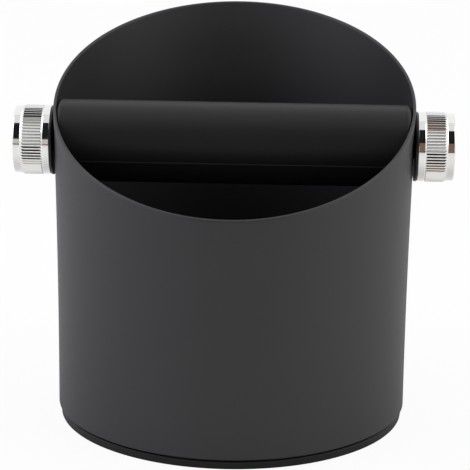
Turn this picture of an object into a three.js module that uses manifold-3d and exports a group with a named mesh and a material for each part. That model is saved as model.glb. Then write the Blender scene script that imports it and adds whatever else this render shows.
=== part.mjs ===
// A round espresso knock box: a slant-mouthed sheet shell with a floor pan and a rubber base,
// and a soft-sleeved knock bar held between its walls by two knurled thumb knobs.
// Millimetres, +Z up. The origin is the middle of the base on the surface it stands on,
// +X runs along the bar to the right knob, and the low side of the mouth faces -Y.
import * as THREE from 'three';
import { mergeVertices } from 'three/addons/utils/BufferGeometryUtils.js';
import Module from 'manifold-3d';

const wasm = await Module();
wasm.setup();

// Shell
const wall = 1.05;
const footRadius = 58.9;
const waistRadius = 59.05;
const mouthRadius = 60;
const frontHeight = 78.5;
const backHeight = 126.8;
const mouthBow = 1.05;

// Floor pan, and a base pad whose plug fills it from below
const panSheet = 0.8;
const panDepth = 5.5;
const panBend = 2.5;
const panProud = 0.83;
const padThickness = 2.6;
const padInset = 0.85;
const padEdge = 0.35;

// Knock bar
const barHeight = 89.5;
const barRadius = 13.6;
const tubeRadius = 9;
const tubeWall = 2;
const tubeRecess = 0.5;
const plugLength = 14;
const sealEdge = 0.2;
const sealRounding = 1.7;

// Thumb knobs and their screws
const threadRadius = 4;
const threadPitch = 1.25;
const threadTurns = 8;
const washerRadius = 11.6;
const washerThickness = 0.8;
const washerPinch = 0.3;
const knobLength = 12.05;
const innerBand = 2.2;
const outerBand = 2.35;
const innerBandRadius = 11.5;
const outerBandRadius = 11.1;
const knurlRadius = 11.6;
const knurlDepth = 0.4;
const knurlChamfer = 0.6;
const knobRounding = 0.3;
const knobEdge = 0.15;
const knobBoreDepth = 8;
const studChamfer = 0.8;

// Clearances
const seatGap = 0.1;
const pressGap = 0.15;
const cutGap = 0.3;
const holeClearance = 0.5;
const overrun = 2;

// Counts and shares
const shellSegments = 96;
const shellRings = 6;
const mouthSteps = 24;
const barSegments = 48;
const knurlCount = 68;
const knurlTipShare = 0.5;
const arcSteps = 3;

// Places that follow from the sizes
const skirtFoot = padThickness + seatGap;
const shellFoot = skirtFoot + panProud;
const mouthCentre = (frontHeight + backHeight) / 2;
const mouthRise = (backHeight - frontHeight) / 2;
const cutReach = 2 * mouthRadius;
const barAxis = shellFoot + barHeight;

// Outer radius of the shell, on a smooth curve through its foot, waist and mouth radii
function shellRadius(z) {
  const share = (z - shellFoot) / mouthCentre;
  const atFoot = 2 * (share - 0.5) * (share - 1);
  const atWaist = 4 * share * (1 - share);
  const atMouth = 2 * share * (share - 0.5);
  return footRadius * atFoot + waistRadius * atWaist + mouthRadius * atMouth;
}

const wallAtBar = shellRadius(barAxis) - wall;
const sealFace = wallAtBar - seatGap;
const barEnd = Math.sqrt(wallAtBar ** 2 - barRadius ** 2) - seatGap - sealEdge;
const sleeveEnd = barEnd - seatGap;
const tubeEnd = sleeveEnd - tubeRecess;
const washerSeat = Math.max(
  shellRadius(barAxis - washerRadius),
  shellRadius(barAxis),
  shellRadius(barAxis + washerRadius),
) + seatGap - washerPinch;
const knobSeat = washerSeat + washerThickness + seatGap;
const studTip = tubeEnd - threadPitch * threadTurns;
const studHead = knobSeat + knobBoreDepth - cutGap;

// Materials
const coat = new THREE.MeshStandardMaterial({ color: 0x3a3a3c, roughness: 0.6, metalness: 0.1 });
const sleeveRubber = new THREE.MeshStandardMaterial({ color: 0x2b2b2c, roughness: 0.7, metalness: 0 });
const baseRubber = new THREE.MeshStandardMaterial({ color: 0x1f1f20, roughness: 0.75, metalness: 0 });
const washerRubber = new THREE.MeshStandardMaterial({ color: 0x121213, roughness: 0.35, metalness: 0 });
const chrome = new THREE.MeshStandardMaterial({ color: 0xdcdcda, roughness: 0.08, metalness: 1 });
const steel = new THREE.MeshStandardMaterial({ color: 0xa9abad, roughness: 0.3, metalness: 1 });

// Exact quarter turns that stand a lathe on +Z, or lay a lathe or a prism along +X
const standUp = new THREE.Matrix4().set(1, 0, 0, 0, 0, 0, -1, 0, 0, 1, 0, 0, 0, 0, 0, 1);
const layLathe = new THREE.Matrix4().set(0, 1, 0, 0, 0, 0, 1, 0, 1, 0, 0, 0, 0, 0, 0, 1);
const layPrism = new THREE.Matrix4().set(0, 0, 1, 0, 1, 0, 0, 0, 0, 1, 0, 0, 0, 0, 0, 1);

// Shared vertices merged, and the empty triangles at a lathe's poles dropped
function tidyMesh(geometry) {
  const bare = geometry.clone();
  bare.deleteAttribute('normal');
  bare.deleteAttribute('uv');
  const merged = mergeVertices(bare);
  const index = merged.index.array;
  const kept = [];
  for (let i = 0; i < index.length; i += 3) {
    const [a, b, c] = [index[i], index[i + 1], index[i + 2]];
    if (a !== b && b !== c && c !== a) {
      kept.push(a, b, c);
    }
  }
  merged.setIndex(kept);
  merged.computeVertexNormals();
  return merged;
}

function toSolid(geometry) {
  const tidy = tidyMesh(geometry);
  return new wasm.Manifold(new wasm.Mesh({
    numProp: 3,
    vertProperties: Float32Array.from(tidy.attributes.position.array),
    triVerts: Uint32Array.from(tidy.index.array),
  }));
}

function toGeometry(solid) {
  const mesh = solid.getMesh();
  const geometry = new THREE.BufferGeometry();
  geometry.setAttribute('position', new THREE.BufferAttribute(mesh.vertProperties, 3));
  geometry.setIndex(new THREE.BufferAttribute(mesh.triVerts, 1));
  geometry.computeVertexNormals();
  return geometry;
}

// A profile of [radius, place] pairs turned about its axis, counter-clockwise as read
function turned(profile, segments, matrix) {
  const points = profile.map(([radius, place]) => new THREE.Vector2(radius, place));
  const geometry = new THREE.LatheGeometry(points, segments);
  geometry.applyMatrix4(matrix);
  return tidyMesh(geometry);
}

function ring(inner, outer, low, high) {
  return [[inner, low], [outer, low], [outer, high], [inner, high], [inner, low]];
}

function disc(radius, low, high) {
  return [[0, low], [radius, low], [radius, high], [0, high]];
}

// Points of a quarter round from one axis direction to the next
function quarter(radius, place, size, from, to) {
  return Array.from({ length: arcSteps + 1 }, (_, step) => {
    const angle = (from + (to - from) * step / arcSteps) * Math.PI / 2;
    return [radius + size * Math.cos(angle), place + size * Math.sin(angle)];
  });
}

// A band of the drawn shell between two depths into its wall, over its full height
function shellBand(outerDepth, innerDepth) {
  const top = backHeight + overrun;
  const heights = Array.from({ length: shellRings + 1 }, (_, i) => shellFoot + top * i / shellRings);
  const outer = heights.map((z) => [shellRadius(z) - outerDepth, z]);
  const inner = heights.map((z) => [shellRadius(z) - innerDepth, z]).reverse();
  return turned([...outer, ...inner, outer[0]], shellSegments, standUp);
}

// Height of the mouth's edge, which bows up a little at the sides of its slanted cut
function mouthHeight(y) {
  const share = y / mouthRadius;
  return shellFoot + mouthCentre + mouthRise * share + mouthBow * (1 - share ** 2);
}

// All that lies above the mouth's edge, drawn in side view and run across the shell
function aboveMouth() {
  const top = shellFoot + 2 * backHeight;
  const places = Array.from({ length: mouthSteps + 1 }, (_, i) => cutReach * (2 * i / mouthSteps - 1));
  const outline = new THREE.Shape([
    ...places.map((y) => new THREE.Vector2(y, mouthHeight(y))),
    new THREE.Vector2(cutReach, top),
    new THREE.Vector2(-cutReach, top),
  ]);
  const block = new THREE.ExtrudeGeometry(outline, { depth: 2 * cutReach, bevelEnabled: false });
  block.applyMatrix4(layPrism);
  block.translate(-cutReach, 0, 0);
  return block;
}

function bodyShell() {
  const hole = threadRadius + holeClearance;
  const drill = turned(disc(hole, -cutReach, cutReach), barSegments, layLathe);
  drill.translate(0, 0, barAxis);
  const tube = toSolid(shellBand(0, wall));
  return toGeometry(tube.subtract(toSolid(aboveMouth())).subtract(toSolid(drill)));
}

const panRadius = Math.min(shellRadius(skirtFoot), shellRadius(skirtFoot + panDepth)) - wall - cutGap;

function floorPan() {
  const inner = panRadius - panSheet;
  const top = skirtFoot + panDepth;
  const bend = panBend - panSheet;
  return turned([
    [0, top - panSheet],
    ...quarter(panRadius - panBend, top - panBend, bend, 1, 0),
    [inner, skirtFoot],
    [panRadius, skirtFoot],
    ...quarter(panRadius - panBend, top - panBend, panBend, 0, 1),
    [0, top],
  ], shellSegments, standUp);
}

function basePad() {
  const rim = footRadius - padInset;
  const plug = panRadius - panSheet - cutGap;
  const plugTop = skirtFoot + panDepth - panSheet - seatGap;
  const bend = panBend - panSheet;
  return turned([
    [0, 0],
    [rim - padEdge, 0],
    [rim, padEdge],
    [rim, padThickness - padEdge],
    [rim - padEdge, padThickness],
    [plug, padThickness],
    [plug, plugTop - bend],
    [plug - bend, plugTop],
    [0, plugTop],
  ], shellSegments, standUp);
}

function barCoreTube() {
  return turned(ring(tubeRadius - tubeWall, tubeRadius, -tubeEnd, tubeEnd), barSegments, layLathe);
}

function barSleeve() {
  return turned(ring(tubeRadius + pressGap, barRadius, -sleeveEnd, sleeveEnd), barSegments, layLathe);
}

function barPlug() {
  const outer = tubeRadius - tubeWall - pressGap;
  return turned(ring(threadRadius + cutGap, outer, tubeEnd - plugLength, tubeEnd), barSegments, layLathe);
}

// A piece at the bar's end with a band of the shell cut away from it
function clearOfShell(blank, outerDepth, innerDepth) {
  const former = shellBand(outerDepth, innerDepth);
  former.translate(0, 0, -barAxis);
  return toGeometry(toSolid(blank).subtract(toSolid(former)));
}

// A rounded ring whose far side is pressed to the curve of the shell's inner wall
function innerSeal() {
  const inner = threadRadius + holeClearance;
  const blank = turned([
    [inner, barEnd],
    [barRadius, barEnd],
    ...quarter(barRadius - sealRounding, sealFace - sealRounding, sealRounding, 0, 1),
    [inner, sealFace],
    [inner, barEnd],
  ], barSegments, layLathe);
  return clearOfShell(blank, -overrun, wall + seatGap);
}

// A flat ring whose near side is pressed to the flare of the shell's outer wall
function knobWasher() {
  const blank = turned(
    ring(threadRadius + cutGap, washerRadius, washerSeat, washerSeat + washerThickness),
    barSegments,
    layLathe,
  );
  return clearOfShell(blank, -seatGap, wall);
}

function knobStud() {
  return turned([
    [0, studTip],
    [threadRadius - studChamfer, studTip],
    [threadRadius, studTip + studChamfer],
    [threadRadius, studHead],
    [0, studHead],
  ], barSegments, layLathe);
}

// The ridges' outline, drawn out over the knurled band and chamfered at both ends
function knurledBand(low, high) {
  const outline = new THREE.Shape();
  const pitch = 2 * Math.PI / knurlCount;
  for (let i = 0; i < knurlCount; i += 1) {
    const corners = [
      [knurlRadius, -knurlTipShare / 2],
      [knurlRadius, knurlTipShare / 2],
      [knurlRadius - knurlDepth, 0.5],
    ];
    for (const [radius, share] of corners) {
      const angle = (i + share) * pitch;
      const point = [radius * Math.cos(angle), radius * Math.sin(angle)];
      if (outline.curves.length === 0 && i === 0 && share < 0) {
        outline.moveTo(...point);
      } else {
        outline.lineTo(...point);
      }
    }
  }
  outline.closePath();
  const ridges = new THREE.ExtrudeGeometry(outline, { depth: high - low, bevelEnabled: false });
  ridges.applyMatrix4(layPrism);
  ridges.translate(low, 0, 0);
  const reach = knurlChamfer + knurlDepth;
  const envelope = turned([
    [0, low],
    [knurlRadius - knurlChamfer, low],
    [knurlRadius + knurlDepth, low + reach],
    [knurlRadius + knurlDepth, high - reach],
    [knurlRadius - knurlChamfer, high],
    [0, high],
  ], barSegments, layLathe);
  return toSolid(ridges).intersect(toSolid(envelope));
}

function thumbKnob() {
  const end = knobSeat + knobLength;
  const low = knobSeat + innerBand;
  const high = end - outerBand;
  const core = turned([
    [0, knobSeat],
    [innerBandRadius - knobEdge, knobSeat],
    [innerBandRadius, knobSeat + knobEdge],
    [innerBandRadius, low],
    [knurlRadius - 2 * knurlDepth, low],
    [knurlRadius - 2 * knurlDepth, high],
    [outerBandRadius, high],
    ...quarter(outerBandRadius - knobRounding, end - knobRounding, knobRounding, 0, 1),
    [0, end],
  ], barSegments, layLathe);
  const bore = turned(
    disc(threadRadius + cutGap, knobSeat - overrun, knobSeat + knobBoreDepth),
    barSegments,
    layLathe,
  );
  return toGeometry(toSolid(core).add(knurledBand(low, high)).subtract(toSolid(bore)));
}

function part(name, geometry, material) {
  const mesh = new THREE.Mesh(geometry, material);
  mesh.name = name;
  return mesh;
}

const bin = new THREE.Group();
bin.add(
  part('body_shell', bodyShell(), coat),
  part('floor_pan', floorPan(), coat),
  part('base_pad', basePad(), baseRubber),
);

const bar = new THREE.Group();
bar.position.z = barAxis;
bar.add(
  part('bar_core_tube', barCoreTube(), steel),
  part('bar_sleeve', barSleeve(), sleeveRubber),
);
bin.add(bar);

// The same pieces serve both ends of the bar, turned half round for the left
for (const [side, turn] of [['right', 0], ['left', Math.PI]]) {
  const end = new THREE.Group();
  end.rotation.z = turn;
  end.add(
    part(`bar_plug_${side}`, barPlug(), steel),
    part(`inner_seal_${side}`, innerSeal(), sleeveRubber),
    part(`knob_washer_${side}`, knobWasher(), washerRubber),
    part(`knob_stud_${side}`, knobStud(), steel),
    part(`thumb_knob_${side}`, thumbKnob(), chrome),
  );
  bar.add(end);
}

export default bin;
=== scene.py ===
# %% [markdown]
# A round coffee knock box
#
# You hit the basket of an espresso machine against the soft bar, and the spent puck drops into
# the bin. The bin is a sheet-steel tube with a slanted mouth, and the bar hangs between two
# screws with chromed thumb knobs. This lesson dresses a finished model of it: first the camera,
# the light and the finishes, then the pieces one by one.

# %% The frame
import math
import bmesh
import bpy
from mathutils import Matrix, Vector


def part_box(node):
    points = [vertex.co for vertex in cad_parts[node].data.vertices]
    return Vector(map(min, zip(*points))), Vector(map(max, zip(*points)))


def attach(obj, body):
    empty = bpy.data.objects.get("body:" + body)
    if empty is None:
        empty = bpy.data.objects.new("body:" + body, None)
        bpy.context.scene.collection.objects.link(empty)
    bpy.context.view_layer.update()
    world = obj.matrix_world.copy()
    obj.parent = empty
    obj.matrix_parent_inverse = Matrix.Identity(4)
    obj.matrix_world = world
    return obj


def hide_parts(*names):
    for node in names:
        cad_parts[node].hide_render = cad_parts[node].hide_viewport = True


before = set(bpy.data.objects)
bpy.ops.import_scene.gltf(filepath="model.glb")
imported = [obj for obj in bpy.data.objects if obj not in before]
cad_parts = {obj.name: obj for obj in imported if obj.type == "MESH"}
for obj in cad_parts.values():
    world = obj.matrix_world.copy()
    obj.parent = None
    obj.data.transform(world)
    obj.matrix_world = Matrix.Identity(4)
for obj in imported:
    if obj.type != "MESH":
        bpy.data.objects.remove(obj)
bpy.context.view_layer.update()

MM = 0.001


# %% [markdown]
# The photographer stood a little right of the middle and looked down at about sixteen degrees,
# from far away with a long lens, so the bin keeps nearly straight sides. The camera is placed
# by turning round a point on the bin's own axis, because then each number is one thing a
# photographer changes. The three angles are in radians. Lens and sensor are in millimetres, as
# camera makers give them.

# %% The camera
aim_height = 61.2 * MM
camera_distance = 720 * MM
camera_sidestep = 0.64 * MM
camera_turn, camera_rise, camera_roll = 0.0299, 0.2756, 0.0124
long_lens, sensor_width = 163.71, 36
nearest_seen, furthest_seen = 50 * MM, 30

towards_camera = Vector((
    math.sin(camera_turn) * math.cos(camera_rise),
    -math.cos(camera_turn) * math.cos(camera_rise),
    math.sin(camera_rise),
))
level_right = Vector((math.cos(camera_turn), math.sin(camera_turn), 0))
level_up = towards_camera.cross(level_right)
view_right = math.cos(camera_roll) * level_right + math.sin(camera_roll) * level_up
view_up = towards_camera.cross(view_right)
stand_point = (
    Vector((0, 0, aim_height)) + towards_camera * camera_distance + level_right * camera_sidestep
)

bpy.ops.object.camera_add(location=stand_point)
camera = bpy.context.object
camera.name = "photo_camera"
camera.rotation_euler = Matrix((view_right, view_up, towards_camera)).transposed().to_euler()
camera.data.sensor_width = sensor_width
camera.data.lens = long_lens
camera.data.clip_start = nearest_seen
camera.data.clip_end = furthest_seen
bpy.context.scene.camera = camera
bpy.context.scene.view_settings.view_transform = "Standard"
print("camera stands at", [round(x / MM) for x in stand_point], "mm")

# %% [markdown]
# Colours are written as the hex values that a colour picker shows. Sums of light work on linear
# values, so one function turns the first into the second. A second small function adds a node,
# sets what it is given and links it up, and every material here is made with it.

# %% Two small helpers for finishes
def linear(hex_colour):
    shares = [int(hex_colour[place:place + 2], 16) / 255 for place in (1, 3, 5)]
    curve = [s / 12.92 if s <= 0.04045 else ((s + 0.055) / 1.055) ** 2.4 for s in shares]
    return (*curve, 1)


def add_node(tree, kind, settings=None, links=None):
    made = tree.nodes.new(kind)
    for key, value in (settings or {}).items():
        if isinstance(key, int) or key in made.inputs:
            made.inputs[key].default_value = value
        else:
            setattr(made, key, value)
    for key, source in (links or {}).items():
        tree.links.new(source, made.inputs[key])
    return made


def new_finish(name):
    finish = bpy.data.materials.new(name)
    finish.use_nodes = True
    finish.node_tree.nodes.clear()
    return finish, finish.node_tree


print("a mid grey of #808080 is", round(linear("#808080")[0], 3), "in linear light")

# %% [markdown]
# The studio is a white table in a white room. The room could be four real walls, but a world
# colour does the same with no noise. It shows pure white to the camera and to anything that
# mirrors it, and lights the bin a little more strongly than that.

# %% The white room
room_light = 1.08

room = bpy.data.worlds.new("white_room")
bpy.context.scene.world = room
room.use_nodes = True
tree = room.node_tree
tree.nodes.clear()
path = add_node(tree, "ShaderNodeLightPath")
seen_or_mirrored = add_node(tree, "ShaderNodeMath", {"operation": "MAXIMUM"}, {
    0: path.outputs["Is Camera Ray"], 1: path.outputs["Is Glossy Ray"],
})
shows_white = add_node(tree, "ShaderNodeMath", {"operation": "MAXIMUM"}, {
    0: seen_or_mirrored.outputs[0], 1: path.outputs["Is Transmission Ray"],
})
level = add_node(tree, "ShaderNodeMapRange", {"To Min": room_light, "To Max": 1.0}, {
    "Value": shows_white.outputs[0],
})
air = add_node(tree, "ShaderNodeBackground", {"Color": linear("#ffffff")}, {
    "Strength": level.outputs[0],
})
add_node(tree, "ShaderNodeOutputWorld", {}, {"Surface": air.outputs[0]})
print("the room lights the bin at", room_light)

# %% [markdown]
# The photo's table is washed out to white and still keeps a soft shadow under the bin. So the
# table is a pale board for the light, and the camera sees it mixed with a plain white glow. The
# bin's foot and knobs mirror mostly the board, or their undersides would shine.

# %% The table
table_radius = 4
white_to_camera, white_to_mirrors = 0.93, 0.08

bpy.ops.object.select_all(action="DESELECT")
bpy.ops.mesh.primitive_circle_add(
    vertices=96, radius=table_radius, fill_type="NGON", location=(0, 0, 0)
)
table = bpy.context.object
table.name = "white_table"
bpy.ops.object.shade_flat()

white_board, tree = new_finish("white_table_board")
path = add_node(tree, "ShaderNodeLightPath")
mirrored = add_node(tree, "ShaderNodeMath", {"operation": "MULTIPLY", 1: white_to_mirrors}, {
    0: path.outputs["Is Glossy Ray"],
})
shows_white = add_node(tree, "ShaderNodeMath", {
    "operation": "MULTIPLY_ADD", 1: white_to_camera,
}, {0: path.outputs["Is Camera Ray"], 2: mirrored.outputs[0]})
board = add_node(tree, "ShaderNodeBsdfDiffuse", {"Color": linear("#e4e4e4")})
glow = add_node(tree, "ShaderNodeEmission", {"Color": linear("#ffffff"), "Strength": 1.0})
mixed = add_node(tree, "ShaderNodeMixShader", {}, {
    0: shows_white.outputs[0], 1: board.outputs[0], 2: glow.outputs[0],
})
add_node(tree, "ShaderNodeOutputMaterial", {}, {"Surface": mixed.outputs[0]})
table.data.materials.append(white_board)
print("the camera sees the table", round(100 * white_to_camera), "percent white")

# %% [markdown]
# Chrome shows what stands round it, so the knobs tell what stood behind the camera. A dark
# curtain, with its foot well above the table, gives the black band that runs along them and
# keeps the front of the bin dark. Over it they mirror a pale ceiling, and under it a pale wall,
# a strip of brown floor and a lit wooden board. These screens are hidden from the camera. The
# strip is hidden from all but mirrors, because it would stain the table.

# %% What the knobs mirror behind the camera
def hidden_screen(name, low, high, colour, glow=0, only_mirrored=False):
    bpy.ops.mesh.primitive_plane_add(size=1)
    screen = bpy.context.object
    screen.name = name
    low, high = Vector(low), Vector(high)
    screen.location = (low + high) / 2
    size = high - low
    if size.z > 0:
        screen.rotation_euler = (math.pi / 2, 0, 0)
    screen.scale = (size.x, size.z or size.y, 1)
    screen.visible_camera = False
    screen.visible_diffuse = screen.visible_shadow = not only_mirrored
    bpy.ops.object.transform_apply(location=True, rotation=True, scale=True)
    finish, tree = new_finish(name)
    if glow:
        skin = add_node(tree, "ShaderNodeEmission", {"Color": linear(colour), "Strength": glow})
    else:
        skin = add_node(tree, "ShaderNodeBsdfDiffuse", {"Color": linear(colour)})
    add_node(tree, "ShaderNodeOutputMaterial", {}, {"Surface": skin.outputs[0]})
    screen.data.materials.append(finish)
    print(name, "is", round(size.x, 2), "m wide")


screens_y, curtain_foot, ceiling_height = -1.6, 0.47, 4.5
left_end, right_end, ceiling_end = -0.95, 1.1, 1.2
hidden_screen(
    "dark_curtain", (left_end, screens_y, curtain_foot),
    (right_end, screens_y, ceiling_height), "#202022",
)
hidden_screen(
    "pale_wall", (left_end, screens_y, 0), (right_end, screens_y, curtain_foot), "#c6c2c0", 1.0
)
hidden_screen(
    "pale_ceiling", (-ceiling_end, screens_y, ceiling_height),
    (ceiling_end, ceiling_end, ceiling_height), "#ebebec", 1.0,
)
hidden_screen(
    "floor_strip", (-1.2, -1.58, 0.002), (1.2, -0.78, 0.002), "#8a5a4c", 0.6, only_mirrored=True
)
hidden_screen("lit_board", (0.02, -1.5, 0), (0.5, -1.5, 0.78), "#b0907e", 0.45)

# %% [markdown]
# Two softboxes stand at the sides, the left one a little stronger and colder, because the shell
# is lighter along its left edge. A weak third one by the camera only lifts the deepest shadows,
# so the chrome doesn't mirror it.

# %% The soft lights
def soft_light(name, place, size, watts, tint):
    bpy.ops.object.light_add(type="AREA", location=place)
    lamp = bpy.context.object
    lamp.name = name
    lamp.data.shape = "RECTANGLE"
    lamp.data.size, lamp.data.size_y = size
    lamp.data.energy = watts
    lamp.data.color = linear(tint)[:3]
    aim = Vector((0, 0, aim_height)) - Vector(place)
    lamp.rotation_euler = aim.to_track_quat("-Z", "Y").to_euler()
    print(name, watts, "W")
    return lamp


softbox_size, fill_size = (0.4, 0.5), (0.6, 0.6)
soft_light("left_softbox", (-0.5, -0.08, 0.42), softbox_size, 1.28, "#f3f6ff")
front_fill = soft_light("front_fill", (0.05, -1.4, 0.42), fill_size, 1.0, "#ffffff")
front_fill.visible_glossy = False
soft_light("right_softbox", (0.5, -0.08, 0.42), softbox_size, 1.02, "#fff6ea")

# %% [markdown]
# Powder coat is a dry paint that is sprayed on and baked. It comes out matte, with a fine even
# grit that scatters the light, and slightly uneven in tone where the cloud of powder was
# thicker. Two noises make it, one for the grit and one for the cloud. Real grit is too fine for
# this picture, so it is drawn about half a millimetre wide.

# %% Matte black powder coat
grit, grit_height = 0.55 * MM, 0.03 * MM
cloud = 28 * MM

powder_coat, tree = new_finish("powder_coated_steel")
place = add_node(tree, "ShaderNodeTexCoord")
grit_noise = add_node(tree, "ShaderNodeTexNoise", {
    "Scale": 1 / grit, "Detail": 2.0, "Roughness": 0.6,
}, {"Vector": place.outputs["Object"]})
cloud_noise = add_node(tree, "ShaderNodeTexNoise", {"Scale": 1 / cloud, "Detail": 3.0}, {
    "Vector": place.outputs["Object"],
})
speckle = add_node(tree, "ShaderNodeMix", {
    "data_type": "RGBA", 6: linear("#222225"), 7: linear("#2c2c2f"),
}, {0: grit_noise.outputs[0]})
clouded = add_node(tree, "ShaderNodeMix", {
    "data_type": "RGBA", "blend_type": "MULTIPLY", 7: linear("#e6e6e8"),
}, {0: cloud_noise.outputs[0], 6: speckle.outputs[2]})
matte = add_node(tree, "ShaderNodeMapRange", {"To Min": 0.46, "To Max": 0.58}, {
    "Value": grit_noise.outputs[0],
})
bump = add_node(tree, "ShaderNodeBump", {"Strength": 0.35, "Distance": grit_height}, {
    "Height": grit_noise.outputs[0],
})
coat = add_node(tree, "ShaderNodeBsdfPrincipled", {"Metallic": 0.0, "IOR": 1.5}, {
    "Base Color": clouded.outputs[2], "Roughness": matte.outputs[0], "Normal": bump.outputs[0],
})
add_node(tree, "ShaderNodeOutputMaterial", {}, {"Surface": coat.outputs[0]})
print("powder coat grit", grit / MM, "mm")

# %% [markdown]
# The bar's sleeve and its end rings are soft moulded rubber. The mould was lightly blasted, so
# the skin is a dry, even black that shines only at a low angle. The base pad is a harder,
# plainer rubber, and the washers under the knobs came out of a polished mould, so they gloss.
# One function makes all three, because they differ only in tone, grain and gloss. Here, bend is
# how strongly the rubber bends light, which sets how much of the room its skin mirrors.

# %% Three rubbers
def moulded_rubber(name, dark, light, grain, depth, dull, bend):
    finish, tree = new_finish(name)
    place = add_node(tree, "ShaderNodeTexCoord")
    grain_noise = add_node(tree, "ShaderNodeTexNoise", {"Scale": 1 / grain, "Detail": 3.0}, {
        "Vector": place.outputs["Object"],
    })
    tone = add_node(tree, "ShaderNodeMix", {
        "data_type": "RGBA", 6: linear(dark), 7: linear(light),
    }, {0: grain_noise.outputs[0]})
    skin = add_node(tree, "ShaderNodeMapRange", {"To Min": dull - 0.05, "To Max": dull + 0.05}, {
        "Value": grain_noise.outputs[0],
    })
    bump = add_node(tree, "ShaderNodeBump", {"Strength": 0.3, "Distance": depth}, {
        "Height": grain_noise.outputs[0],
    })
    rubber = add_node(tree, "ShaderNodeBsdfPrincipled", {"Metallic": 0.0, "IOR": bend}, {
        "Base Color": tone.outputs[2], "Roughness": skin.outputs[0], "Normal": bump.outputs[0],
    })
    add_node(tree, "ShaderNodeOutputMaterial", {}, {"Surface": rubber.outputs[0]})
    print(name, "with a grain of", round(grain / MM, 1), "mm")
    return finish


sleeve_rubber = moulded_rubber(
    "blasted_sleeve_rubber", "#161617", "#1e1e1f",
    grain=0.6 * MM, depth=0.02 * MM, dull=0.45, bend=1.33,
)
pad_rubber = moulded_rubber(
    "plain_pad_rubber", "#080808", "#0e0e0d",
    grain=0.7 * MM, depth=0.02 * MM, dull=0.5, bend=1.38,
)
gloss_rubber = moulded_rubber(
    "glossy_washer_rubber", "#040404", "#080809",
    grain=1.2 * MM, depth=0.005 * MM, dull=0.35, bend=1.41,
)

# %% [markdown]
# Chrome plate is a mirror over polished steel, here with a very faint warm tint. Its plating is
# never perfectly level, so a very shallow, slow ripple bends the reflections a little and keeps
# them from looking drawn.

# %% Chrome plate
ripple, ripple_height = 4 * MM, 0.05 * MM

chrome_plate, tree = new_finish("chrome_plated_steel")
place = add_node(tree, "ShaderNodeTexCoord")
ripple_noise = add_node(tree, "ShaderNodeTexNoise", {"Scale": 1 / ripple, "Detail": 2.0}, {
    "Vector": place.outputs["Object"],
})
polish = add_node(tree, "ShaderNodeMapRange", {"To Min": 0.04, "To Max": 0.10}, {
    "Value": ripple_noise.outputs[0],
})
bump = add_node(tree, "ShaderNodeBump", {"Strength": 0.15, "Distance": ripple_height}, {
    "Height": ripple_noise.outputs[0],
})
chrome = add_node(tree, "ShaderNodeBsdfPrincipled", {
    "Base Color": linear("#eeeeec"), "Metallic": 1.0,
}, {"Roughness": polish.outputs[0], "Normal": bump.outputs[0]})
add_node(tree, "ShaderNodeOutputMaterial", {}, {"Surface": chrome.outputs[0]})
print("chrome ripple", round(ripple / MM, 1), "mm")

# %% [markdown]
# The screws, plugs and tube are plain turned steel. The cutting tool leaves fine rings on it,
# so one noise is squeezed along the bar and drawn out across it. The rings are a little wider
# than real ones, so that they show.

# %% Turned steel
tool_mark, mark_length, mark_depth = 0.4 * MM, 50 * MM, 0.01 * MM

turned_steel, tree = new_finish("turned_steel")
place = add_node(tree, "ShaderNodeTexCoord")
across = add_node(tree, "ShaderNodeMapping", {
    "Scale": (1 / tool_mark, 1 / mark_length, 1 / mark_length),
}, {"Vector": place.outputs["Object"]})
rings_noise = add_node(tree, "ShaderNodeTexNoise", {"Scale": 1.0, "Detail": 3.0}, {
    "Vector": across.outputs[0],
})
tone = add_node(tree, "ShaderNodeMix", {
    "data_type": "RGBA", 6: linear("#9c9ea0"), 7: linear("#b4b6b8"),
}, {0: rings_noise.outputs[0]})
cut = add_node(tree, "ShaderNodeMapRange", {"To Min": 0.24, "To Max": 0.38}, {
    "Value": rings_noise.outputs[0],
})
bump = add_node(tree, "ShaderNodeBump", {"Strength": 0.3, "Distance": mark_depth}, {
    "Height": rings_noise.outputs[0],
})
steel = add_node(tree, "ShaderNodeBsdfPrincipled", {"Metallic": 1.0}, {
    "Base Color": tone.outputs[2], "Roughness": cut.outputs[0], "Normal": bump.outputs[0],
})
add_node(tree, "ShaderNodeOutputMaterial", {}, {"Surface": steel.outputs[0]})
print("tool marks", round(tool_mark / MM, 1), "mm")

# %% [markdown]
# The shell is a rolled and welded tube, cut through at a slant and coated. Here it starts as a
# circle at the foot that is extruded up into a tall tube and subdivided into rings. Its copy, a
# little smaller, becomes the inside of the wall. Each point is then drawn to the shell's own
# outline, which widens slightly towards the mouth, and each ring climbs evenly to the slanted
# cut, apart from one close to each end that keeps the shine even there. Cutting a plain tube
# would be quicker, but would leave long thin faces along the cut.

# %% The shell's sizes
wall = 1.05 * MM
shell_foot = 3.53 * MM
foot_radius, waist_radius, mouth_radius = 58.9 * MM, 59.05 * MM, 60 * MM
mouth_centre = 102.65 * MM
mouth_rise = 24.15 * MM
mouth_bow = 1.05 * MM
shell_sides, shell_rings = 216, 30
bar_height = 93.03 * MM


def shell_radius(height):
    share = (height - shell_foot) / mouth_centre
    at_foot = foot_radius * 2 * (share - 0.5) * (share - 1)
    at_waist = waist_radius * 4 * share * (1 - share)
    at_mouth = mouth_radius * 2 * share * (share - 0.5)
    return at_foot + at_waist + at_mouth


def mouth_height(y):
    share = y / mouth_radius
    return shell_foot + mouth_centre + mouth_rise * share + mouth_bow * (1 - share ** 2)


print("front rim at", round(mouth_height(-mouth_radius) / MM, 1), "mm")

# %% [markdown]
# An operator works on whatever is selected, so every step first lets go of everything and takes
# up just its own piece. Edges are then picked in code, by a test on where their two ends lie.

# %% Helpers to take up a piece and pick its edges
def nothing_selected():
    if bpy.context.mode != "OBJECT":
        bpy.ops.object.mode_set(mode="OBJECT")
    bpy.ops.object.select_all(action="DESELECT")


def take_up(piece, mode="OBJECT"):
    nothing_selected()
    piece.select_set(True)
    bpy.context.view_layer.objects.active = piece
    bpy.ops.object.mode_set(mode=mode)


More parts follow.
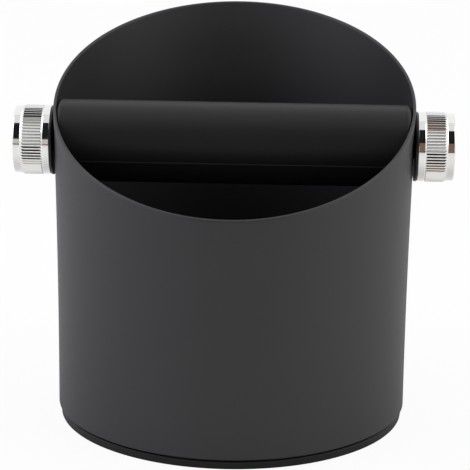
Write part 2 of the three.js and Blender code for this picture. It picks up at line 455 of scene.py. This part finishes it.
def pick_edges(piece, wanted):
    bpy.ops.mesh.select_mode(type="EDGE")
    bpy.ops.mesh.select_all(action="DESELECT")
    mesh = bmesh.from_edit_mesh(piece.data)
    picked = [edge for edge in mesh.edges if wanted(edge.verts[0].co, edge.verts[1].co)]
    for edge in picked:
        edge.select_set(True)
    bmesh.update_edit_mesh(piece.data)
    return len(picked)


# %% Helpers to smooth a piece and put it in its place
def smoothed(piece, angle=40):
    take_up(piece)
    bpy.ops.object.shade_smooth_by_angle(angle=math.radians(angle))
    bpy.ops.object.modifier_add(type="WEIGHTED_NORMAL")
    piece.modifiers[-1].keep_sharp = True
    bpy.ops.object.modifier_apply(modifier=piece.modifiers[-1].name)


def dressed(piece, name, finish, body, nodes):
    piece.name = name
    piece.data.name = name
    piece.data.materials.clear()
    piece.data.materials.append(finish)
    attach(piece, body)
    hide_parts(*nodes)
    piece.data.calc_loop_triangles()
    print(name, len(piece.data.loop_triangles), "triangles")


# %% The shell's two skins
start_radius = shell_radius(shell_foot)
inside = 1 - wall / start_radius

nothing_selected()
bpy.ops.mesh.primitive_circle_add(
    vertices=shell_sides, radius=start_radius, location=(0, 0, shell_foot)
)
shell = bpy.context.object
bpy.ops.object.transform_apply(location=True, rotation=True, scale=True)
bpy.ops.object.mode_set(mode="EDIT")
bpy.ops.mesh.select_all(action="SELECT")
bpy.ops.mesh.extrude_region_move(TRANSFORM_OT_translate={"value": (0, 0, mouth_centre)})
pick_edges(shell, lambda start, end: abs(start.z - end.z) > mouth_centre / 2)
bpy.ops.mesh.subdivide(number_cuts=shell_rings - 1)
bpy.ops.mesh.select_all(action="SELECT")
bpy.ops.mesh.duplicate()
bpy.ops.mesh.flip_normals()
bpy.ops.transform.resize(value=(inside, inside, 1), center_override=(0, 0, 0))
print("rings of", round(mouth_centre / MM / shell_rings, 2), "mm")

# %% The wall between them
hair = 0.01 * MM

for tube_end in (shell_foot, shell_foot + mouth_centre):
    joined = pick_edges(
        shell, lambda start, end: max(abs(start.z - tube_end), abs(end.z - tube_end)) < hair
    )
    bpy.ops.mesh.bridge_edge_loops()
    print("bridged", joined, "edges at", round(tube_end / MM, 2), "mm")

# %% Drawn to the slanted, flared outline
edge_ring = 0.9 * MM
skin_border = start_radius - wall / 2
settling_rounds = 6

bpy.ops.object.mode_set(mode="OBJECT")
for point in shell.data.vertices:
    x, y, z = point.co
    reach = math.hypot(x, y)
    depth = wall if reach < skin_border else 0
    share = (z - shell_foot) / mouth_centre
    top = mouth_height(y)
    for _ in range(settling_rounds):
        top = mouth_height(y / reach * (shell_radius(top) - depth))
    ring = round(share * shell_rings)
    climb = share * (top - shell_foot)
    if ring == 1:
        climb = edge_ring
    if ring == shell_rings - 1:
        climb = top - shell_foot - edge_ring
    height = shell_foot + climb
    drawn = shell_radius(height) - depth
    point.co = (x / reach * drawn, y / reach * drawn, height)
print("shell box", [round(d / MM, 2) for d in shell.dimensions])

# %% [markdown]
# A cut edge that has been coated is never sharp: the powder builds up and rounds it. The two
# edges of the rim are bevelled by half a millimetre, so they catch a thin light line along the
# mouth. Those of the foot stay crisper. The holes for the screws are drilled with a cutter.

# %% Softened rim and foot
rim_softness, foot_softness = 0.5 * MM, 0.2 * MM


def soften_ends(at_end, softness, segments):
    def along_the_ring(start, end):
        outward = start.xy.normalized()
        return at_end(start) and at_end(end) and abs((end - start).xy.dot(outward)) <= wall / 2

    softened = pick_edges(shell, along_the_ring)
    bpy.ops.mesh.bevel(offset=softness, segments=segments, affect="EDGES")
    print("softened", softened, "edges by", round(softness / MM, 1), "mm")


take_up(shell, "EDIT")
soften_ends(lambda co: abs(co.z - mouth_height(co.y)) < hair, rim_softness, segments=4)
soften_ends(lambda co: co.z < shell_foot + hair, foot_softness, segments=2)
bpy.ops.mesh.select_all(action="SELECT")
bpy.ops.mesh.normals_make_consistent(inside=False)

# %% Holes for the screws
hole_radius, drill_length = 4.5 * MM, 160 * MM

nothing_selected()
bpy.ops.mesh.primitive_cylinder_add(
    vertices=64, radius=hole_radius, depth=drill_length,
    location=(0, 0, bar_height), rotation=(0, math.pi / 2, 0),
)
drill = bpy.context.object
take_up(shell)
bpy.ops.object.modifier_add(type="BOOLEAN")
shell.modifiers[-1].operation = "DIFFERENCE"
shell.modifiers[-1].solver = "EXACT"
shell.modifiers[-1].object = drill
bpy.ops.object.modifier_apply(modifier=shell.modifiers[-1].name)
bpy.data.objects.remove(drill)
smoothed(shell)
dressed(shell, "coated_shell", powder_coat, "bin", ["body_shell"])

# %% [markdown]
# Nearly everything else on this object is turned, pressed or moulded round an axis, so one
# helper makes them all. It is given the piece's outline as corners, each with its radius, its
# place along the axis and how far it is rounded. It starts with a circle and extrudes it from
# one point of the outline to the next, as a potter pulls up a wall. Spin would do it in one go,
# but leaves a seam where it ends, which then has to be merged.

# %% Corners to a rounded outline
def rounded_outline(corners, steps=5):
    points = []
    for index, (radius, place, rounding) in enumerate(corners):
        if rounding == 0:
            points.append((radius, place))
            continue
        here = Vector((radius, place))
        before = Vector(corners[index - 1][:2])
        after = Vector(corners[index + 1][:2])
        inward = (before - here).normalized()
        onward = (after - here).normalized()
        half = inward.angle(onward) / 2
        start = here + inward * rounding / math.tan(half)
        end = here + onward * rounding / math.tan(half)
        middle = here + (inward + onward).normalized() * rounding / math.sin(half)
        first, last = start - middle, end - middle
        swing = first.angle_signed(last)
        for step in range(steps + 1):
            turn = Matrix.Rotation(-swing * step / steps, 2)
            points.append(tuple(middle + turn @ first))
    return points


one_corner = rounded_outline([(0, 0, 0), (2, 0, 1), (2, 2, 0)])
print("two ends and a rounded corner between them are", len(one_corner), "points")

# %% A turned piece
def turned(outline, sides, hollow=False, along_bar=True):
    nothing_selected()
    (radius, place), *others = [(r * MM, p * MM) for r, p in outline]
    bpy.ops.mesh.primitive_circle_add(vertices=sides, radius=radius, location=(0, 0, place))
    piece = bpy.context.object
    bpy.ops.object.transform_apply(location=True, rotation=True, scale=True)
    bpy.ops.object.mode_set(mode="EDIT")
    bpy.ops.mesh.select_all(action="SELECT")
    for next_radius, next_place in others:
        bpy.ops.mesh.extrude_region_move(
            TRANSFORM_OT_translate={"value": (0, 0, next_place - place)}
        )
        size = next_radius / radius
        bpy.ops.transform.resize(value=(size, size, 1), center_override=(0, 0, next_place))
        radius, place = next_radius, next_place
    bpy.ops.mesh.select_mode(type="EDGE")
    bpy.ops.mesh.select_all(action="DESELECT")
    bpy.ops.mesh.select_non_manifold()
    if hollow:
        bpy.ops.mesh.bridge_edge_loops()
    else:
        bpy.ops.mesh.fill_holes(sides=0)
    bpy.ops.mesh.select_all(action="SELECT")
    bpy.ops.mesh.normals_make_consistent(inside=False)
    bpy.ops.object.mode_set(mode="OBJECT")
    if along_bar:
        piece.rotation_euler = (0, math.pi / 2, 0)
        piece.location = (0, 0, bar_height)
        bpy.ops.object.transform_apply(location=True, rotation=True, scale=True)
    return piece


# %% Its twin on the left, half a turn round
def left_twin(piece):
    twin = piece.copy()
    twin.data = piece.data.copy()
    bpy.context.scene.collection.objects.link(twin)
    take_up(twin)
    twin.rotation_euler = (0, 0, math.pi)
    bpy.ops.object.transform_apply(location=True, rotation=True, scale=True)
    return twin


# %% [markdown]
# The floor is a pressed pan: a flat sheet with its edge bent down all round, pushed up into the
# tube's foot and welded there before the coating. Only its top shows, from above, down in the
# well.

# %% The floor pan
def box_in_mm(node):
    return [tuple(c / MM for c in corner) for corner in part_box(node)]


pan_low, pan_high = box_in_mm("floor_pan")
pan_radius, pan_foot, pan_top = pan_high[0], pan_low[2], pan_high[2]
pan_sheet, pan_bend = 0.8, 1.7
pan_middle = 10
crisp = 0.15

pan = turned(rounded_outline([
    (pan_middle, pan_top - pan_sheet, 0),
    (pan_radius - pan_sheet, pan_top - pan_sheet, pan_bend),
    (pan_radius - pan_sheet, pan_foot, crisp),
    (pan_radius, pan_foot, crisp),
    (pan_radius, pan_top, pan_bend + pan_sheet),
    (pan_middle, pan_top, 0),
]), sides=144, along_bar=False)
smoothed(pan)
dressed(pan, "pressed_floor_pan", powder_coat, "bin", ["floor_pan"])

# %% [markdown]
# The base pad is a thick rubber disc that keeps the bin from sliding and takes the blows. It is
# a little smaller than the shell, so the shell seems to float on a dark line, and its upper
# edge catches a thin light. Its middle stands up into the pan, and shallow grooves underneath
# help it to grip.

# %% The grooves under the pad
groove_mouth, groove_bed, groove_depth = 1.2, 0.8, 0.5

grip_grooves = []
for groove_radius in (36, 44, 52):
    grip_grooves += [
        (groove_radius - groove_mouth, 0, crisp),
        (groove_radius - groove_bed, groove_depth, crisp),
        (groove_radius + groove_bed, groove_depth, crisp),
        (groove_radius + groove_mouth, 0, crisp),
    ]
print("three grooves", groove_depth, "mm deep")

# %% The base pad
pad_high = box_in_mm("base_pad")[1]
pad_radius, pad_top = pad_high[0], pad_high[2]
pad_lip, lip_rounding = 2.6, 0.4
plug_radius, plug_rounding = pan_radius - pan_sheet - 0.3, 1.5
pad_middle = 28

pad = turned(rounded_outline([
    (pad_middle, 0, 0),
    *grip_grooves,
    (pad_radius, 0, crisp),
    (pad_radius, pad_lip, lip_rounding),
    (plug_radius, pad_lip, crisp),
    (plug_radius, pad_top, plug_rounding),
    (pad_middle, pad_top, 0),
]), sides=192, along_bar=False)
smoothed(pad)
dressed(pad, "rubber_base_pad", pad_rubber, "bin", ["base_pad"])

# %% [markdown]
# The knock bar's sleeve is a thick rubber tube pushed over a steel one. It was moulded in two
# halves, which left a hairline along its front and its back. The sleeve is turned like the
# rest. The edges along those two lines are then bevelled, and their middle is pushed out a
# little.

# %% The bar's sleeve
sleeve_high = box_in_mm("bar_sleeve")[1]
sleeve_radius, sleeve_bore, sleeve_end = 13.6, 9.15, sleeve_high[0]
cut_edge = 0.03

sleeve = turned(rounded_outline([
    (sleeve_bore, -sleeve_end, 0),
    (sleeve_radius, -sleeve_end, cut_edge),
    (sleeve_radius, sleeve_end, cut_edge),
    (sleeve_bore, sleeve_end, 0),
], steps=2), sides=180, hollow=True)
print("sleeve", round(2 * sleeve_end, 2), "mm long")

# %% Its mould seams
seam_angle, near_seam, on_seam = math.radians(-18), math.radians(1), math.radians(0.2)
seam_width, seam_rise = 0.3 * MM, 0.22 * MM
under_skin = 13.5 * MM


def off_seam(place):
    across, up = -place.y, place.z - bar_height
    if math.hypot(across, up) < under_skin:
        return math.pi
    away = (math.atan2(up, across) - seam_angle) % math.pi
    return min(away, math.pi - away)


take_up(sleeve, "EDIT")
seam_edges = pick_edges(
    sleeve, lambda start, end: max(off_seam(start), off_seam(end)) < near_seam
)
bpy.ops.mesh.bevel(offset=seam_width, segments=2, affect="EDGES")
bpy.ops.object.mode_set(mode="OBJECT")
for point in sleeve.data.vertices:
    if off_seam(point.co) < on_seam:
        reach = math.hypot(point.co.y, point.co.z - bar_height)
        point.co.y *= 1 + seam_rise / reach
        point.co.z += (point.co.z - bar_height) * seam_rise / reach
print("two mould seams of", seam_edges, "edges")
smoothed(sleeve, angle=15)
dressed(sleeve, "knock_bar_sleeve", sleeve_rubber, "knock_bar", ["bar_sleeve"])

# %% [markdown]
# A soft ring sits between each end of the bar and the wall. The screw pulls it tight, so its
# outer face takes the curve of the wall and its edge stays round. It is turned with a full
# rounding, and every point that would go into the wall is then pressed back to it. Extra rings
# on its face give the pressing points to work on. The model leaves a tenth of a millimetre
# between ring and sleeve, where real ones touch, so the ring starts a little closer.

# %% The end rings
ring_low = box_in_mm("inner_seal_right")[0]
ring_closer, wall_gap = 0.07, 0.1
ring_start = ring_low[0] - ring_closer
ring_face = (shell_radius(bar_height) - wall) / MM - wall_gap
ring_bore, ring_rounding = 4.5, 1.7

right_ring = turned(rounded_outline([
    (ring_bore, ring_start, 0),
    (sleeve_radius, ring_start, cut_edge),
    (sleeve_radius, ring_face, ring_rounding),
    *[(radius, ring_face, 0) for radius in (11, 9, 7, ring_bore)],
], steps=8), sides=120, hollow=True)
pressed = 0
for point in right_ring.data.vertices:
    wall_reach = shell_radius(point.co.z) - wall - wall_gap * MM
    wall_x = math.sqrt(wall_reach ** 2 - point.co.y ** 2)
    if point.co.x > wall_x:
        point.co.x = wall_x
        pressed += 1
print("pressed back", pressed, "points")
smoothed(right_ring)
left_ring = left_twin(right_ring)
for piece, side in ((right_ring, "right"), (left_ring, "left")):
    dressed(piece, f"soft_end_ring_{side}", sleeve_rubber, "bin", [f"inner_seal_{side}"])

# %% [markdown]
# A thin glossy black washer keeps each knob from scratching the coat. It is turned with
# slightly rounded edges, which give it the bright line that it shows beside the chrome.

# %% The washers
washer_low, washer_high = box_in_mm("knob_washer_right")
washer_radius, washer_bore, washer_rounding = 11.6, 4.3, 0.2

right_washer = turned(rounded_outline([
    *[(radius, washer_low[0], 0) for radius in (washer_bore, 6.5, 8.5, 10.2)],
    (washer_radius, washer_low[0], washer_rounding),
    (washer_radius, washer_high[0], washer_rounding),
    (washer_bore, washer_high[0], 0),
], steps=4), sides=128, hollow=True)
for point in right_washer.data.vertices:
    wall_x = math.sqrt((shell_radius(point.co.z) + wall_gap * MM) ** 2 - point.co.y ** 2)
    point.co.x = max(point.co.x, wall_x)
smoothed(right_washer)
left_washer = left_twin(right_washer)
for piece, side in ((right_washer, "right"), (left_washer, "left")):
    dressed(piece, f"gloss_washer_{side}", gloss_rubber, f"{side}_washer",
            [f"knob_washer_{side}"])

# %% [markdown]
# Each thumb knob is turned from bar, with a plain band at both ends and a straight knurl
# pressed in between them, and then chromed. It is turned here with twelve points to each of its
# ridges. The points over the grooves are drawn in last, each by its own share of the groove's
# depth, so each groove ends in the chamfer as on a real one. Modelling one ridge and copying it
# round would leave 68 joins to close. A ring close to each edge keeps the shine on the flat
# bands even. The two knobs came to rest at different turns, so their grooves start at different
# columns.

# %% A turned knob
knob_low, knob_high = box_in_mm("thumb_knob_right")
knob_seat, knob_end = knob_low[0], knob_high[0]
knob_bore, bore_depth, knob_edge = 4.3, 8, 0.2
inner_band, outer_band, end_rounding = 11.5, 11.1, 0.35
knurl_start, knurl_end = knob_seat + 2.2, knob_end - 2.35
knurl_radius, knurl_depth = 11.6, 0.34
neck_end, outer_chamfer = knurl_start + 0.6, 0.95
chamfer_start = knurl_end - outer_chamfer
ridges, ridge_points = 68, 12

right_knob = turned([
    *rounded_outline([
        (knob_bore, knob_seat + bore_depth, 0),
        (knob_bore, knob_seat, knob_edge),
        (inner_band, knob_seat, knob_edge),
        (inner_band, knob_seat + 0.35, 0),
        (inner_band, knurl_start - 0.2, 0),
        (inner_band, knurl_start, 0.05),
        (knurl_radius - knurl_depth, neck_end - 0.05, 0),
    ], steps=4),
    (knurl_radius, neck_end),
    (knurl_radius, chamfer_start - 0.1),
    (knurl_radius - 0.03, chamfer_start + 0.08),
    (knurl_radius - 0.25, knurl_end - outer_chamfer / 2),
    *rounded_outline([
        (outer_band, knurl_end, 0),
        (outer_band, knurl_end + 0.12, 0),
        (outer_band, knob_end - 0.5, 0),
        (outer_band, knob_end, end_rounding),
        (4, knob_end, 0),
    ], steps=6),
], sides=ridges * ridge_points)
print("knob", round(knob_end - knob_seat, 2), "mm long, with", ridges, "ridges")

# %% The knurl
groove_half = [0.0, 0.04, 0.19, 0.39, 0.59, 0.8, 1.0]
groove_shares = groove_half + groove_half[-2:0:-1]
start_x, end_x = (neck_end - 0.02) * MM, knurl_end * MM - 1e-6
left_knob = left_twin(right_knob)

for piece, side, first_column in ((right_knob, "right", 2), (left_knob, "left", 4)):
    for point in piece.data.vertices:
        if not start_x < abs(point.co.x) < end_x:
            continue
        across, up = point.co.y, point.co.z - bar_height
        reach = math.hypot(across, up)
        column = round(math.atan2(up, across) / (2 * math.pi) * ridges * ridge_points)
        share = groove_shares[(column - first_column) % ridge_points]
        deepest = (knurl_radius - knurl_depth * share) * MM
        if reach > deepest:
            point.co.y = across * deepest / reach
            point.co.z = bar_height + up * deepest / reach
    smoothed(piece, angle=24)
    dressed(piece, f"knurled_thumb_knob_{side}", chrome_plate, f"{side}_knob",
            [f"thumb_knob_{side}"])

# %% [markdown]
# The screw in each knob only shows when the knob is undone. Its thread climbs one pitch in each
# turn, so it can't be made ring by ring. A plain rod is subdivided finely, and each point is
# then drawn in by how far it lies from the crest of the thread that winds past it. The first
# turn starts in a small cone, so that the screw finds its hole.

# %% A finely divided rod
stud_low, stud_high = box_in_mm("knob_stud_right")
pitch, thread_depth, thread_radius = 1.25, 0.6, 4.0
stud_sides, rings_per_pitch = 48, 8
stud_rings = round((stud_high[0] - stud_low[0]) / pitch * rings_per_pitch)

right_stud = turned([
    (thread_radius, stud_low[0]), (thread_radius, stud_high[0]),
], sides=stud_sides)
take_up(right_stud, "EDIT")
pick_edges(right_stud, lambda start, end: abs(start.x - end.x) > pitch * MM)
bpy.ops.mesh.subdivide(number_cuts=stud_rings - 1)
bpy.ops.object.mode_set(mode="OBJECT")
print("rod with", stud_rings, "rings")

# %% Its thread
flank_slope, flat_crest, tip_cone = 3, 0.2, 0.8

for point in right_stud.data.vertices:
    across, up = point.co.y, point.co.z - bar_height
    along = (point.co.x / MM - stud_low[0]) / pitch
    phase = (along + math.atan2(up, across) / (2 * math.pi)) % 1
    flank = min(1, max(0, flank_slope * abs(phase - 0.5) - flat_crest))
    tip = max(0, tip_cone - along * pitch)
    radius = (thread_radius - max(thread_depth * flank, tip)) * MM
    reach = math.hypot(across, up)
    point.co.y, point.co.z = across * radius / reach, bar_height + up * radius / reach
smoothed(right_stud, angle=50)
left_stud = left_twin(right_stud)
for piece, side in ((right_stud, "right"), (left_stud, "left")):
    dressed(piece, f"threaded_stud_{side}", turned_steel, f"{side}_knob",
            [f"knob_stud_{side}"])

# %% [markdown]
# The steel tube and its plugs are hidden inside the bar. Their plain shapes are right as they
# are, so they only get the turned steel.

# %% The hidden steel
for name in ("bar_core_tube", "bar_plug_left", "bar_plug_right"):
    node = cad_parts[name]
    node.data.materials.clear()
    node.data.materials.append(turned_steel)
    print(name, "is turned steel")
